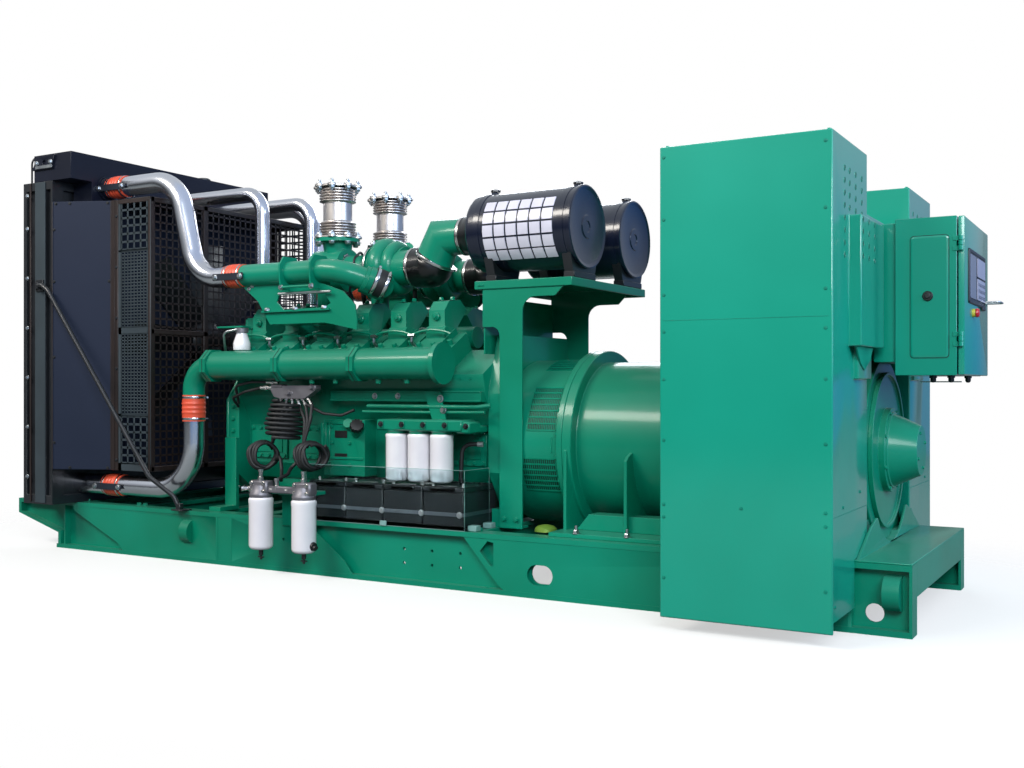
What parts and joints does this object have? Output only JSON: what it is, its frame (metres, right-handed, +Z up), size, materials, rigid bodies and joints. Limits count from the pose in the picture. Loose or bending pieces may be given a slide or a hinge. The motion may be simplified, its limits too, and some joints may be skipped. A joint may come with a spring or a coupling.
{
  "type": "generator set",
  "caption": "Open diesel generator set on a steel skid: green V engine with radiator package, twin air cleaners, alternator with side cabinets and a hinged control door.",
  "frame": {"origin": "on the floor, at the centre of the outer anchor-hole pattern in the skid's bottom flanges", "axes": "+Z up, +X along the crankshaft toward the alternator end, -Y toward the battery side"},
  "size_m": [5.665, 2.036, 2.39],
  "materials": {
    "green_enamel": "gloss",
    "dark_enamel": "satin",
    "stainless": "polished",
    "black_plastic": "matte",
    "black_rubber": "matte",
    "white_enamel": "gloss",
    "clear_sheet": "clear"
  },
  "bodies": {
    "set": {"skid_rail_near": "green_enamel", "skid_rail_far": "green_enamel", "cross_beams": "green_enamel", "end_deck": "green_enamel", "radiator_core": "dark_enamel", "header_tank": "dark_enamel", "fan_shroud": "dark_enamel", "guard_near": "dark_enamel", "guard_far": "dark_enamel", "guard_front": "dark_enamel", "fan": "black_plastic", "stays": "dark_enamel", "engine_block": "green_enamel", "engine_feet": "green_enamel", "cylinder_heads": "green_enamel", "exhaust_manifold": "green_enamel", "manifold_near": "green_enamel", "manifold_far": "green_enamel", "charge_tube_near": "green_enamel", "charge_tube_far": "green_enamel", "charge_pipe_near": "stainless", "charge_pipe_far": "stainless", "lower_pipe_near": "stainless", "lower_pipe_far": "stainless", "coolant_pipes": "stainless", "turbochargers": "green_enamel", "exhaust_bellows": "stainless", "air_ducts": "black_rubber", "air_cleaners": "dark_enamel", "cleaner_shelf": "green_enamel", "stand_posts": "green_enamel", "oil_filters": "white_enamel", "fuel_filters": "white_enamel", "batteries": "black_plastic", "battery_screen": "clear_sheet", "screen_ends": "clear_sheet", "adapter": "green_enamel", "alternator": "green_enamel", "end_cone": "green_enamel", "cabinet_near": "green_enamel", "cabinet_far": "green_enamel", "terminal_box": "green_enamel", "control_box": "green_enamel"},
    "door": {"control_door": "green_enamel"}
  },
  "joints": [
    {"name": "control_door_hinge", "type": "hinge", "parent": "set", "child": "door", "pos_m": [2.856, -0.364, 1.373], "axis": [0, 0, -1], "range_deg": [0, 110]}
  ]
}
